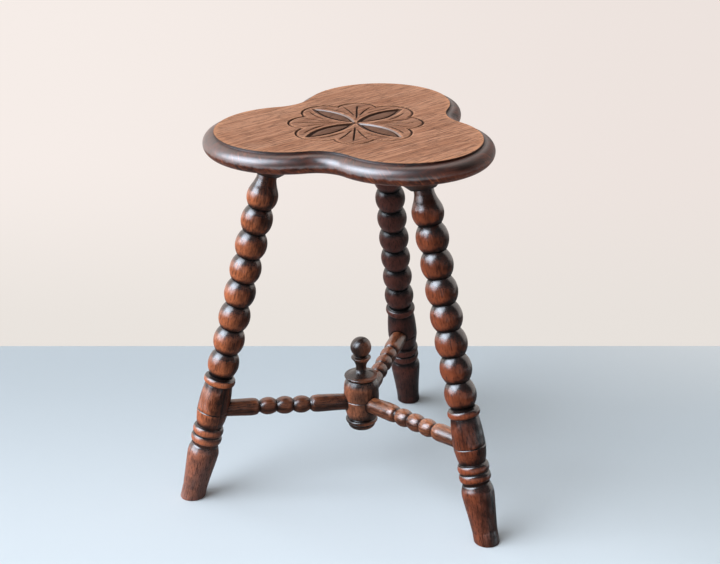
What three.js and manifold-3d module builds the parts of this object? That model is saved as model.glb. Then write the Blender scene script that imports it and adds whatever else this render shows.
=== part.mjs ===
// Bobbin stool: a trefoil seat with a moulded rim on three splayed, bobbin-turned legs.
// Three bobbin-turned stretchers run from the legs to a turned hub with a finial and a drop.
//
// Millimetres, +Z up. The hub's axis is vertical, the rear leg stands towards +Y and the
// two front legs stand 120 degrees to either side of it. The feet are cut flat on z = 0.
// Every glued joint keeps a small gap round the piece that sits in it.

import * as THREE from 'three';
import { mergeVertices } from 'three/addons/utils/BufferGeometryUtils.js';
import Module from 'manifold-3d';

const wasm = await Module();
wasm.setup();

const rad = THREE.MathUtils.degToRad;

// Driving dimensions

const GAP = 0.3;

// Seat: three round lobes joined by hollow notches
const SEAT_TOP = 450;
const SEAT_BOTTOM = 426;
const LOBE_RADIUS = 83.5;
const LOBE_OUT = 78.5;
const NOTCH_RADIUS = 49;
const RIM_BULGE = 12.5;
const QUIRK_DEPTH = 2.6;
const QUIRK_WIDTH = 1.2;
const QUIRK_FALL = 0.4;

// Legs: heights are measured along the leg's axis, from the floor
const LEG_FOOT_OUT = 208.8;
const LEG_SPLAY = rad(14.7);
const LEG_FOOT_RADIUS = 14.5;
const LEG_SHOULDER_RADIUS = 18.5;
const LEG_BARREL_RADIUS = 18.5;
const LEG_SCRIBE = 116;
const LEG_BEADS = { first: 177.4, pitch: 30, count: 7, halfLength: 21, radius: 18.3 };
const PEAR_MIDDLE = 386;
const PEAR_RADIUS = 17.9;
const NECK_START = 407;
const NECK_RADIUS = 11.3;
const LEG_END = 452;
const TENON_RADIUS = 10;

// Pads: conical blocks glued under the seat, one round each leg's neck
const PAD_START = 412.6;
const PAD_SMALL_RADIUS = 14.8;
const PAD_LARGE_RADIUS = 25;

// Stretchers: lengths are measured along the stretcher's axis, from the hub's axis
const STRETCHER_HEIGHT = 101.5;
const STRETCHER_RISE = rad(3.8);
const STRETCHER_START = 9;
const STRETCHER_END_RADIUS = 9.6;
const STRETCHER_SHOULDER_RADIUS = 10.5;
const SOCKET_REACH = 40;
const STRETCHER_BEADS = { first: 73.7, pitch: 20.1, count: 3, halfLength: 13.3, radius: 10.5 };

// Hub, finial and drop: heights above the floor
const DROP_BOTTOM = 67.6;
const HUB_BOTTOM = 82;
const HUB_SCRIBE = 106.5;
const HUB_TOP = 132.6;
const HUB_RADIUS = 21.2;
const HUB_TOP_RADIUS = 17.4;
const BRIM_HEIGHT = 136;
const BRIM_RADIUS = 20.2;
const FINIAL_NECK_RADIUS = 6.2;
const CUP_RADIUS = 11.7;
const BALL_CENTRE = 173.1;
const BALL_RADIUS = 12.4;
const BALL_SEAT_RADIUS = 7.3;
const DROP_RING_RADIUS = 19.2;
const SPIGOT_RADIUS = 5;
const FINIAL_SPIGOT = 12;
const DROP_SPIGOT = 6;

// Where the legs stand, counted from +X towards +Y, in the order of the seat's outline
const PLACES = [
  { name: 'rear', azimuth: rad(90) },
  { name: 'front_left', azimuth: rad(210) },
  { name: 'front_right', azimuth: rad(330) },
];

// From the hub's axis to the leg's axis, along the stretcher
const LEG_MEETING =
  (LEG_FOOT_OUT - STRETCHER_HEIGHT * Math.tan(LEG_SPLAY)) /
  (Math.cos(STRETCHER_RISE) + Math.sin(STRETCHER_RISE) * Math.tan(LEG_SPLAY));
const STRETCHER_END = LEG_MEETING - 1;

// Placing: a leg leans in towards its top, a stretcher rises out towards its leg

function lean(object) {
  object.position.x = LEG_FOOT_OUT;
  object.rotation.y = -LEG_SPLAY;
  object.updateMatrix();
  return object;
}

function rise(object) {
  object.position.z = STRETCHER_HEIGHT;
  object.rotation.y = Math.PI / 2 - STRETCHER_RISE;
  object.updateMatrix();
  return object;
}

const LEG_POSE = lean(new THREE.Object3D()).matrix;
const STRETCHER_POSE = rise(new THREE.Object3D()).matrix;
const INTO_LEG = LEG_POSE.clone().invert();

function turnedTo(azimuth, pose) {
  return new THREE.Matrix4().makeRotationZ(azimuth).multiply(pose);
}

// Closed solids

function toSolid(geometry) {
  const bare = geometry.clone();
  bare.deleteAttribute('normal');
  bare.deleteAttribute('uv');
  const welded = mergeVertices(bare, 1e-4);
  const corners = welded.index.array;
  const kept = [];
  for (let i = 0; i < corners.length; i += 3) {
    const [a, b, c] = corners.slice(i, i + 3);
    if (a !== b && b !== c && c !== a) kept.push(a, b, c);
  }
  return new wasm.Manifold(new wasm.Mesh({
    numProp: 3,
    vertProperties: Float32Array.from(welded.attributes.position.array),
    triVerts: Uint32Array.from(kept),
  }));
}

function toGeometry(solid) {
  const result = solid.getMesh();
  const geometry = new THREE.BufferGeometry();
  geometry.setAttribute('position', new THREE.BufferAttribute(result.vertProperties, 3));
  geometry.setIndex(new THREE.BufferAttribute(result.triVerts, 1));
  geometry.computeVertexNormals();
  return geometry;
}

// A turned piece: pairs of [height, radius], from the bottom up, spun round the Z axis
function turned(profile, segments) {
  const points = profile.map(([height, radius]) => new THREE.Vector2(radius, height));
  return new THREE.LatheGeometry(points, segments).rotateX(Math.PI / 2);
}

// A plain round peg along Z, for cutting sockets
function peg(from, to, radius, segments) {
  return turned([[from, 0], [from, radius], [to, radius], [to, 0]], segments);
}

// A block wider than the stool, between two heights, for cutting level faces
function slab(low, high) {
  const width = 4 * LEG_FOOT_OUT;
  return new THREE.BoxGeometry(width, width, high - low).translate(0, 0, (low + high) / 2);
}

// Stretches of turned profile

// Part of an ellipse: radius = base + bulge * sqrt(1 - (t / half) ** 2), t from the middle
function swell({ middle, half, from = -half, to = half, base = 0, bulge }, steps) {
  return Array.from({ length: steps + 1 }, (_, i) => {
    const t = from + ((to - from) * i) / steps;
    return [middle + t, base + bulge * Math.sqrt(Math.max(0, 1 - (t / half) ** 2))];
  });
}

// A smooth curve through a few [height, radius] pairs
function flow(pairs, steps) {
  const curve = new THREE.SplineCurve(pairs.map(([x, y]) => new THREE.Vector2(x, y)));
  return curve.getPoints(steps).map((point) => [point.x, point.y]);
}

// A thin V cut scribed round the piece
function scribed(height, radius) {
  return [[height - 0.7, radius], [height, radius - 0.8], [height + 0.7, radius]];
}

// A ring left standing between two hollows
function ring(middle, half, radius, bulge) {
  return swell({ middle, half, base: radius - bulge, bulge }, 4);
}

// A row of beads that meet in V-shaped grooves
function beads({ first, pitch, count, halfLength, radius }) {
  const points = [];
  for (let i = 0; i < count; i += 1) {
    const bead = swell({
      middle: first + i * pitch,
      half: halfLength,
      from: -pitch / 2,
      to: pitch / 2,
      bulge: radius,
    }, 6);
    points.push(...(i === 0 ? bead : bead.slice(1)));
  }
  return points;
}

// Seat

// The notch circle touches the lobe circles on both sides, which sets its centre
const NOTCH_OUT =
  LOBE_OUT / 2 + Math.sqrt((LOBE_RADIUS + NOTCH_RADIUS) ** 2 - 0.75 * LOBE_OUT ** 2);
const LOBE_STEPS = 16;
const NOTCH_STEPS = 6;

function arc(centre, radius, start, sweep, steps) {
  return Array.from({ length: steps }, (_, i) => {
    const angle = start + (sweep * i) / steps;
    return new THREE.Vector2(
      centre.x + radius * Math.cos(angle),
      centre.y + radius * Math.sin(angle),
    );
  });
}

// The seat's outline, moved outwards by an offset
function trefoil(offset) {
  const lobe = new THREE.Vector2(LOBE_OUT, 0);
  const notch = new THREE.Vector2(NOTCH_OUT, 0).rotateAround(new THREE.Vector2(), rad(60));
  const touch = notch.clone().sub(lobe).angle();
  const third = [
    ...arc(lobe, LOBE_RADIUS + offset, -touch, 2 * touch, LOBE_STEPS),
    ...arc(notch, NOTCH_RADIUS - offset, touch + Math.PI, rad(120) - 2 * touch, NOTCH_STEPS),
  ];
  return PLACES.flatMap(({ azimuth }) =>
    third.map((point) => point.clone().rotateAround(new THREE.Vector2(), azimuth)));
}

// Rim section from the top edge down, as [offset, height]: a quirk, then a half-round nose
function rimSection(steps) {
  const noseTop = SEAT_TOP - QUIRK_DEPTH - QUIRK_FALL;
  const middle = (noseTop + SEAT_BOTTOM) / 2;
  const half = (noseTop - SEAT_BOTTOM) / 2;
  const nose = Array.from({ length: steps + 1 }, (_, i) => {
    const turn = (Math.PI * i) / steps;
    return [
      QUIRK_WIDTH + (RIM_BULGE - QUIRK_WIDTH) * Math.sin(turn),
      middle + half * Math.cos(turn),
    ];
  });
  return [[0, SEAT_TOP], [0, SEAT_TOP - QUIRK_DEPTH], ...nose];
}

// The outline stacked up the rim section, with the top and bottom closed as fans
function seatBlank() {
  const levels = rimSection(8).map(([offset, height]) =>
    trefoil(offset).map((point) => [point.x, point.y, height]));
  const count = levels[0].length;
  const last = (levels.length - 1) * count;
  const topCentre = levels.length * count;
  const bottomCentre = topCentre + 1;
  const faces = [];
  for (let i = 0; i < count; i += 1) {
    const next = (i + 1) % count;
    for (let start = 0; start < last; start += count) {
      const [a, b, c, d] = [start + i, start + next, start + count + i, start + count + next];
      faces.push(a, c, b, b, c, d);
    }
    faces.push(topCentre, i, next, bottomCentre, last + next, last + i);
  }
  const corners = [...levels.flat(2), 0, 0, SEAT_TOP, 0, 0, SEAT_BOTTOM];
  const geometry = new THREE.BufferGeometry();
  geometry.setAttribute('position', new THREE.Float32BufferAttribute(corners, 3));
  geometry.setIndex(faces);
  return toSolid(geometry);
}

function makeSeat() {
  const holes = PLACES.map(({ azimuth }) =>
    toSolid(tenonHole().applyMatrix4(turnedTo(azimuth, LEG_POSE))));
  return holes.reduce((seat, hole) => seat.subtract(hole), seatBlank());
}

// Legs and pads

// Foot, slim at the floor and swelling to a round shoulder
function footProfile() {
  return flow([
    [-9, LEG_FOOT_RADIUS],
    [10, LEG_FOOT_RADIUS],
    [34, 16.2],
    [59, LEG_SHOULDER_RADIUS],
    [68, 16.9],
    [71.2, 15.6],
  ], 10);
}

// Barrel where the stretcher enters, scribed at its widest
function barrelProfile() {
  return [
    ...flow([[96.2, 15], [104, 17], [LEG_SCRIBE - 2, LEG_BARREL_RADIUS]], 3),
    ...scribed(LEG_SCRIBE, LEG_BARREL_RADIUS),
    ...flow([[LEG_SCRIBE + 4, LEG_BARREL_RADIUS], [136, 17.8], [150.6, 16.1]], 4),
  ];
}

// Pear, round below and straight-sided up to the neck
function pearProfile() {
  const round = { middle: PEAR_MIDDLE, half: 19.3, from: -13.4, to: 2, bulge: PEAR_RADIUS };
  return [...swell(round, 5).slice(1), [391.5, 16.5], [399, 13.8], [NECK_START, NECK_RADIUS]];
}

function legProfile() {
  return [
    [-9, 0],
    ...footProfile(),
    ...ring(79.8, 4.9, 18.2, 2.3),
    ...ring(90.5, 4.9, 18.1, 2.2),
    ...barrelProfile(),
    ...ring(155.7, 4.5, 18.6, 2.7),
    ...beads(LEG_BEADS),
    ...pearProfile(),
    [LEG_END, TENON_RADIUS],
    [LEG_END, 0],
  ];
}

// The room that the neck and the tapered tenon need in the pad and the seat
function tenonHole() {
  return turned([
    [NECK_START, 0],
    [NECK_START, NECK_RADIUS + GAP],
    [LEG_END + GAP, TENON_RADIUS + GAP],
    [LEG_END + GAP, 0],
  ], 18);
}

// The room that a stretcher's end needs in the hub or in the leg
function stretcherHole(from, to) {
  return peg(from, to, STRETCHER_END_RADIUS + GAP, 14);
}

function makeLeg() {
  const floor = slab(-50, 0).applyMatrix4(INTO_LEG);
  const socket = stretcherHole(LEG_MEETING - SOCKET_REACH, STRETCHER_END + GAP);
  socket.applyMatrix4(STRETCHER_POSE).applyMatrix4(INTO_LEG);
  return toSolid(turned(legProfile(), 18)).subtract(toSolid(floor)).subtract(toSolid(socket));
}

function makePad() {
  const cone = turned([
    [PAD_START, 0],
    [PAD_START, PAD_SMALL_RADIUS],
    [PAD_START + 9.6, PAD_LARGE_RADIUS - 0.6],
    [PAD_START + 11, PAD_LARGE_RADIUS],
    [LEG_END, PAD_LARGE_RADIUS],
    [LEG_END, 0],
  ], 20);
  const seat = slab(SEAT_BOTTOM - GAP, SEAT_TOP + 50).applyMatrix4(INTO_LEG);
  return toSolid(cone).subtract(toSolid(seat)).subtract(toSolid(tenonHole()));
}

// Stretchers

function makeStretcher() {
  const beadsStart = STRETCHER_BEADS.first - STRETCHER_BEADS.pitch / 2;
  const beadsEnd = beadsStart + STRETCHER_BEADS.pitch * STRETCHER_BEADS.count;
  return toSolid(turned([
    [STRETCHER_START, 0],
    [STRETCHER_START, STRETCHER_END_RADIUS],
    ...flow([
      [40, 10.3],
      [beadsStart - 9, STRETCHER_SHOULDER_RADIUS],
      [beadsStart - 4, 9.6],
      [beadsStart - 1.4, 7.4],
    ], 5),
    ...beads(STRETCHER_BEADS),
    ...flow([
      [beadsEnd + 1.4, 7.4],
      [beadsEnd + 4, 9.6],
      [beadsEnd + 9, STRETCHER_SHOULDER_RADIUS],
      [150, 10.1],
    ], 5),
    [STRETCHER_END, STRETCHER_END_RADIUS - GAP],
    [STRETCHER_END, 0],
  ], 14));
}

// Hub, finial and drop

function makeHub() {
  const barrel = turned([
    [HUB_BOTTOM, 0],
    [HUB_BOTTOM, 15.8],
    ...flow([[HUB_BOTTOM + 1.6, 17.6], [94, 20.3], [HUB_SCRIBE - 2, HUB_RADIUS]], 4),
    ...scribed(HUB_SCRIBE, HUB_RADIUS),
    ...flow([[HUB_SCRIBE + 4, HUB_RADIUS], [124, 20.6], [HUB_TOP, HUB_TOP_RADIUS]], 5),
    [HUB_TOP, 0],
  ], 24);
  const sockets = PLACES.map(({ azimuth }) =>
    stretcherHole(STRETCHER_START - GAP, SOCKET_REACH)
      .applyMatrix4(turnedTo(azimuth, STRETCHER_POSE)));
  const holes = [
    ...sockets,
    peg(HUB_TOP - FINIAL_SPIGOT, HUB_TOP + 5, SPIGOT_RADIUS + GAP, 12),
    peg(HUB_BOTTOM - 5, HUB_BOTTOM + DROP_SPIGOT, SPIGOT_RADIUS + GAP, 12),
  ];
  return holes.reduce((hub, hole) => hub.subtract(toSolid(hole)), toSolid(barrel));
}

// Brim, trumpet-shaped neck, cup and ball, with a spigot below
function makeFinial() {
  const base = HUB_TOP + GAP;
  return toSolid(turned([
    [base - FINIAL_SPIGOT, 0],
    [base - FINIAL_SPIGOT, SPIGOT_RADIUS],
    [base, SPIGOT_RADIUS],
    [base, HUB_TOP_RADIUS],
    [BRIM_HEIGHT - 0.8, BRIM_RADIUS],
    [BRIM_HEIGHT + 0.6, BRIM_RADIUS],
    ...flow([
      [137.4, 19.2],
      [138.6, 13.6],
      [142.5, 7.8],
      [148, FINIAL_NECK_RADIUS],
      [153.6, 7.9],
      [159, CUP_RADIUS],
    ], 9),
    [160.2, CUP_RADIUS - 0.2],
    [161.8, BALL_SEAT_RADIUS + 0.9],
    ...swell({
      middle: BALL_CENTRE,
      half: BALL_RADIUS,
      from: -Math.sqrt(BALL_RADIUS ** 2 - BALL_SEAT_RADIUS ** 2),
      bulge: BALL_RADIUS,
    }, 8),
  ], 20));
}

// A ring over a small rounded cap, with a spigot above
function makeDrop() {
  const top = HUB_BOTTOM - GAP;
  return toSolid(turned([
    [DROP_BOTTOM, 0],
    [DROP_BOTTOM, 11.5],
    ...flow([[68.6, 14], [70.8, 15.9], [75, 16.2]], 3),
    ...ring(78.1, 2.9, DROP_RING_RADIUS, 2.8),
    [top, 15.6],
    [top, SPIGOT_RADIUS],
    [top + DROP_SPIGOT, SPIGOT_RADIUS],
    [top + DROP_SPIGOT, 0],
  ], 20));
}

// Oak, worn bare on the seat and stained dark elsewhere
const WORN_TOP = { color: 0x9a5f42, roughness: 0.5 };
const STAINED = { color: 0x5b2e1b, roughness: 0.35 };
const DARK = { color: 0x35201a, roughness: 0.35 };

function piece(name, solid, look) {
  const mesh = new THREE.Mesh(toGeometry(solid), new THREE.MeshStandardMaterial(look));
  mesh.name = name;
  return mesh;
}

// One third of the stool: a leg, its pad and its stretcher, turned to their place
function makeBay({ name, azimuth }) {
  const bay = new THREE.Group();
  bay.rotation.z = azimuth;
  bay.add(lean(piece(`leg_${name}`, makeLeg(), STAINED)));
  bay.add(lean(piece(`pad_${name}`, makePad(), DARK)));
  bay.add(rise(piece(`stretcher_${name}`, makeStretcher(), STAINED)));
  return bay;
}

function makeStool() {
  const stool = new THREE.Group();
  stool.name = 'bobbin_stool';
  stool.add(piece('seat', makeSeat(), WORN_TOP));
  stool.add(...PLACES.map(makeBay));
  stool.add(piece('hub', makeHub(), STAINED));
  stool.add(piece('finial', makeFinial(), DARK));
  stool.add(piece('hub_drop', makeDrop(), DARK));
  return stool;
}

// The origin lies on the floor under the middle of the stool's outer box
function centred(stool) {
  const middle = new THREE.Box3().setFromObject(stool, true).getCenter(new THREE.Vector3());
  stool.position.set(-middle.x, -middle.y, 0);
  return stool;
}

export default centred(makeStool());
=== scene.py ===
# %% [markdown]
# # A bobbin stool, dressed for its picture
# The stool is turned and carved oak. A clover-shaped seat with a moulded rim and a carved
# rosette stands on three splayed legs. Each leg is a row of bobbins, round beads turned side
# by side. Three smaller bobbin stretchers tie the legs to a turned hub, which carries a finial
# above and a drop below. The solids of the stool are loaded first. They fix every size and
# place, and each of them is then replaced by a finer surface of the same shape.

import math

import bpy
import numpy as np
from mathutils import Matrix, Vector


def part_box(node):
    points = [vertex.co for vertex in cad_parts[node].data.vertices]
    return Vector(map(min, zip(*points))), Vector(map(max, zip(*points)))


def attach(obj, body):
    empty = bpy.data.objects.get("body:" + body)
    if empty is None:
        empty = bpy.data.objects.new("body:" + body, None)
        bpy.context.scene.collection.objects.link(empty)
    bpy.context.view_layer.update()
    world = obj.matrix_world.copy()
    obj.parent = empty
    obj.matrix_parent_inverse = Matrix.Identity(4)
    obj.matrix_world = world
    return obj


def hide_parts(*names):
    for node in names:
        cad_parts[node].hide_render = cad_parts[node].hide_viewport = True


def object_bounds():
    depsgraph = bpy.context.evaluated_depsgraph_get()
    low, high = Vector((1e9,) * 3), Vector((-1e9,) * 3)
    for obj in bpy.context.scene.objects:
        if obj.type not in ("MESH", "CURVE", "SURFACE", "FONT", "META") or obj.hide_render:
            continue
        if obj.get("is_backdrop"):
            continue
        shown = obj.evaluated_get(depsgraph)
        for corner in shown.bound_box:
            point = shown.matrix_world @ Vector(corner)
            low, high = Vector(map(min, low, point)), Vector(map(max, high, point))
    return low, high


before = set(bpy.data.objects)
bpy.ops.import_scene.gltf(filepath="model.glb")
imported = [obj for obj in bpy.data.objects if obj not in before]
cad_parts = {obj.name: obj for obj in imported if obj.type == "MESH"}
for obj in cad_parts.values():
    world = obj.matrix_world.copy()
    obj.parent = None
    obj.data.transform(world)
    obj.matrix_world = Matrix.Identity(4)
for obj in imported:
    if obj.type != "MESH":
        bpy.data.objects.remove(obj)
cad_low, cad_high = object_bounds()
print("solids:", sorted(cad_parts))

# %% [markdown]
# Sizes are in millimetres, as on a turner's drawing, and become metres only when a surface is
# placed. The hub's axis is the middle of the stool. It is read from the finial's solid, and the
# seat's two faces from the seat's solid, so these surfaces sit exactly where the solids are.

# %% The stool's own frame
MM = 0.001

finial_low, finial_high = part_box("finial")
seat_low, seat_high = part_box("seat")
HUB_AXIS = Matrix.Translation([
    (finial_low.x + finial_high.x) / 2,
    (finial_low.y + finial_high.y) / 2,
    0,
])
SEAT_TOP = seat_high.z / MM
SEAT_BOTTOM = seat_low.z / MM

PLACES = {
    "rear": math.radians(90),
    "front_left": math.radians(210),
    "front_right": math.radians(330),
}

LEG_FOOT_OUT = 208.8
LEG_SPLAY = math.radians(14.7)
STRETCHER_HEIGHT = 101.5
STRETCHER_RISE = math.radians(3.8)


def leg_pose(azimuth):
    """Where a leg's own axis stands: out from the hub at the floor, leaning in by the splay."""
    out = Matrix.Translation([LEG_FOOT_OUT * MM, 0, 0])
    return HUB_AXIS @ Matrix.Rotation(azimuth, 4, "Z") @ out @ Matrix.Rotation(-LEG_SPLAY, 4, "Y")


def stretcher_pose(azimuth):
    """Where a stretcher's axis lies: from the hub's axis outwards, rising towards its leg."""
    up = Matrix.Translation([0, 0, STRETCHER_HEIGHT * MM])
    tip = Matrix.Rotation(math.pi / 2 - STRETCHER_RISE, 4, "Y")
    return HUB_AXIS @ Matrix.Rotation(azimuth, 4, "Z") @ up @ tip


def placed(points, pose):
    """Points in a piece's own millimetres, carried by its pose into the stool's metres."""
    pose = np.array(pose)
    return points * MM @ pose[:3, :3].T + pose[:3, 3]


def own(points, pose):
    """Points in the stool's metres, brought back into a piece's own millimetres."""
    pose = np.array(pose)
    return (points - pose[:3, 3]) @ pose[:3, :3] / MM


print(f"seat from {SEAT_BOTTOM:.1f} to {SEAT_TOP:.1f} mm")
print(f"hub axis at {HUB_AXIS.translation.y / MM:.1f} mm")

# %% [markdown]
# A turned piece is a profile spun round an axis, so its surface is a grid: one row for each
# height, one column for each direction. Blender's Screw modifier could spin it, but a grid
# worked out in numpy keeps the height and the direction of each point at hand, and the finish
# needs them later. The same grid serves the seat, whose rows are outlines instead of circles.


# %% From a grid of points to a closed skin
SHARP_ANGLE = math.radians(38)


def skin(name, grid, downward=False):
    """A closed surface from a grid of points: neighbours in a row and between rows join, the
    last column joins the first, and a fan to the middle of each end row closes that end. The
    faces of a grid whose rows run downwards are turned over, so that they too face outwards."""
    rows, columns = grid.shape[:2]
    points = np.vstack([grid.reshape(-1, 3), grid[0].mean(0), grid[-1].mean(0)])
    row, column = np.meshgrid(np.arange(rows - 1), np.arange(columns), indexing="ij")
    corner = row * columns + column
    beside = row * columns + (column + 1) % columns
    quads = np.stack([corner, beside, beside + columns, corner + columns], -1)
    first = np.arange(columns)
    following = (first + 1) % columns
    start = np.full(columns, rows * columns)
    last = (rows - 1) * columns
    first_fan = np.stack([start, following, first], -1)
    last_fan = np.stack([start + 1, first + last, following + last], -1)
    corners = np.concatenate([quads.ravel(), first_fan.ravel(), last_fan.ravel()])
    sizes = np.concatenate([np.full(quads.size // 4, 4), np.full(2 * columns, 3)])
    if downward:
        corners, sizes = corners[::-1], sizes[::-1]
    mesh = bpy.data.meshes.new(name)
    mesh.vertices.add(len(points))
    mesh.vertices.foreach_set("co", points.astype(np.float32).ravel())
    mesh.loops.add(len(corners))
    mesh.loops.foreach_set("vertex_index", corners.astype(np.int32))
    mesh.polygons.add(len(sizes))
    mesh.polygons.foreach_set("loop_start", (np.cumsum(sizes) - sizes).astype(np.int32))
    mesh.update(calc_edges=True)
    mesh.validate()
    mesh.shade_smooth()
    mesh.set_sharp_from_angle(angle=SHARP_ANGLE)
    piece = bpy.data.objects.new(name, mesh)
    bpy.context.scene.collection.objects.link(piece)
    return piece


def note(piece, name, values):
    """Writes one value or one vector for each point of the piece, for its finish to read."""
    kind, key = ("FLOAT_VECTOR", "vector") if values.ndim == 2 else ("FLOAT", "value")
    attribute = piece.data.attributes.new(name, kind, "POINT")
    attribute.data.foreach_set(key, values.astype(np.float32).ravel())


def points_of(piece):
    """The piece's points, as one array in the stool's metres."""
    flat = np.empty(len(piece.data.vertices) * 3, np.float32)
    piece.data.vertices.foreach_get("co", flat)
    return flat.reshape(-1, 3).astype(float)


# %% [markdown]
# Profiles are arrays of height and radius. A bead is part of an ellipse, and its points are
# crowded towards its two ends by a cosine, because the sharp groove between two beads is what
# the eye follows. Long stretches are a smooth curve through a few measured places.


# %% Stretches of turned profile
def swell(middle, half, bulge, start=-1.0, stop=1.0, base=0.0, steps=20):
    """Part of an ellipse: radius = base + bulge * sqrt(1 - t * t), t in half lengths."""
    spread = (1 - np.cos(np.linspace(0, math.pi, steps + 1))) / 2
    t = start + (stop - start) * spread
    radius = base + bulge * np.sqrt(np.maximum(0, 1 - t * t))
    return np.stack([middle + t * half, radius], -1)


def flow(places, steps):
    """A smooth curve through the given places: between two of them a cubic whose slope at
    each place is half the step from the place before to the place after."""
    places = np.array(places, float)
    p = np.linspace(0, len(places) - 1, steps + 1)
    i = np.minimum(p.astype(int), len(places) - 2)
    w = (p - i)[:, None]
    a, b = places[i], places[i + 1]
    into = (b - places[np.maximum(i - 1, 0)]) / 2
    out = (places[np.minimum(i + 2, len(places) - 1)] - a) / 2
    bend = (2 * a - 2 * b + into + out) * w**3 + (3 * b - 3 * a - 2 * into - out) * w**2
    return bend + into * w + a


def scribed(height, radius, half=0.8, depth=0.9):
    """A line cut round the piece with the tip of a skew chisel, a V with rounded lips."""
    t = np.array([-1.5, -1, -0.5, 0, 0.5, 1, 1.5])
    cut = np.array([0, 0.12, 0.6, 1, 0.6, 0.12, 0])
    return np.stack([height + t * half, radius - depth * cut], -1)


def ring(middle, half, radius, bulge):
    """A ring left standing between two hollows."""
    return swell(middle, half, bulge, base=radius - bulge, steps=14)


def beads(first, pitch, count, half_length, radius, unevenness, steps=22):
    """A row of ellipse beads that meet in grooves, no two of quite the same girth."""
    reach = pitch / 2 / half_length
    bulges = radius * (1 + unevenness)
    return np.vstack([
        swell(first + i * pitch, half_length, bulges[i], -reach, reach, steps=steps)
        for i in range(count)
    ])


# %% [markdown]
# Turning by hand leaves a piece very slightly uneven. Each piece gets a slow swell and fall of
# a tenth or two of a millimetre along and round it, a sum of a few sine waves whose phases come
# from a seeded generator, so that two pieces differ but every run gives the same stool.


# %% Hand work
def unevenness(seed, count, amount):
    """A few small shares, plus or minus, one for each bead."""
    return np.random.default_rng(seed).uniform(-amount, amount, count)


def wander(seed, points, length, amount):
    """A smooth field: the sum of six sine waves across the points, each in its own direction
    and with its own phase, about `length` from crest to crest and up to `amount` high."""
    rng = np.random.default_rng(seed)
    ways = rng.normal(size=(6, points.shape[-1]))
    ways /= np.linalg.norm(ways, axis=1)[:, None]
    waves = points @ ways.T * (2 * math.pi / length) * rng.uniform(0.6, 1.5, 6)
    return amount * np.sin(waves + rng.uniform(0, 2 * math.pi, 6)).mean(-1) * 1.8


def spun(profile, sides):
    """A profile of height and radius carried round the Z axis in equal steps."""
    turn = np.linspace(0, 2 * math.pi, sides, endpoint=False)
    height, radius = profile[:, :1], profile[:, 1:]
    return np.stack([radius * np.cos(turn), radius * np.sin(turn), height + 0 * turn], -1)


def standing(profile, reach):
    """How far each place of a profile stands proud of the mean radius within reach of it, in
    shares of 3 mm: about 1 on a sharp crest, -1 in a deep groove and 0 on a plain stretch."""
    even = np.linspace(profile[0, 0], profile[-1, 0], 700)
    radius = np.interp(even, profile[:, 0], profile[:, 1])
    near = np.abs(even[:, None] - even) < reach
    mean = near @ radius / near.sum(1)
    return (profile[:, 1] - np.interp(profile[:, 0], even, mean)) / 3


# %% [markdown]
# A leg is one turning. From the floor up it has a foot that swells to a shoulder, two thin
# rings, a barrel with a line scribed at its widest where the stretcher enters, another ring,
# seven beads, and a pear that runs into the neck and the tenon. The foot is cut level with the
# floor, so its lowest rows are slid along the leg until they meet the floor's plane, and the
# edge there is worn round.

# %% The leg's profile
LEG_BEADS = {"first": 177.4, "pitch": 30, "count": 7, "half_length": 21, "radius": 18.3}
FOOT_RADIUS = 14.5
FOOT_ROWS_FROM = 14
BARREL_RADIUS = 18.5
LEG_SCRIBE = 116
PEAR_MIDDLE = 386
PEAR_HALF = 19.3
PEAR_RADIUS = 17.9
NECK = (407, 11.3)
TENON = (452, 10)
SIDES = 72


def leg_profile(seed):
    """Heights along the leg's axis and radii, from above the foot's level cut to the tenon."""
    return np.vstack([
        flow([[FOOT_ROWS_FROM, FOOT_RADIUS], [34, 16.2], [59, 18.5], [68, 16.9], [71.2, 15.6]], 36),
        ring(79.8, 4.9, 18.2, 2.3),
        ring(90.5, 4.9, 18.1, 2.2),
        flow([[96.2, 15], [104, 17], [LEG_SCRIBE - 2, BARREL_RADIUS]], 16),
        scribed(LEG_SCRIBE, BARREL_RADIUS),
        flow([[LEG_SCRIBE + 4, BARREL_RADIUS], [136, 17.8], [150.6, 16.1]], 20),
        ring(155.7, 4.5, 18.6, 2.7),
        beads(**LEG_BEADS, unevenness=unevenness(seed, 7, 0.008)),
        swell(PEAR_MIDDLE, PEAR_HALF, PEAR_RADIUS, -13.4 / PEAR_HALF, 6 / PEAR_HALF, steps=22),
        flow([[393, 16.6], [396.5, 15.2], [401, 13.2], NECK], 16),
        [TENON],
    ])


def level_cut(radius, height_of_plane, from_height, rows, edge):
    """Rows of a round bar between a square row and a sloping plane: each column goes from its
    own height on the plane to from_height, and within `edge` of the plane the bar is rounded in
    by a quarter circle."""
    turn = np.linspace(0, 2 * math.pi, SIDES, endpoint=False)
    length = from_height - height_of_plane(radius * np.cos(turn))
    share = np.linspace(0, 1, rows)[:, None] ** 1.8
    above = np.minimum(np.abs(share * length) / edge, 1)
    inner = radius - edge * (1 - np.sqrt(1 - (1 - above) ** 2))
    cut = height_of_plane(inner * np.cos(turn))
    height = cut + share * (from_height - cut)
    return np.stack([inner * np.cos(turn), inner * np.sin(turn), height], -1)


def floor_line(x):
    """Height along a leg at which it meets the floor, x out from its axis."""
    return -x * math.tan(LEG_SPLAY)


# %% [markdown]
# The smaller turnings are made the same way. A stretcher is a plain bar with three beads in its
# length. The hub is a barrel with a scribed line, the finial a ball in a cup on a thin neck, and
# the drop a low button with a ring.

# %% Stretcher, hub, finial and drop
STRETCHER_BEADS = {"first": 73.7, "pitch": 20.1, "count": 3, "half_length": 13.3, "radius": 10.5}
STRETCHER_START = 9
STRETCHER_END = 180.5
HUB_BOTTOM = 82
HUB_TOP = 132.6
HUB_SCRIBE = 106.5
HUB_RADIUS = 21.2
BALL_CENTRE = 173.1
BALL_RADIUS = 12.4
BALL_SEAT_RADIUS = 7.3


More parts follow.
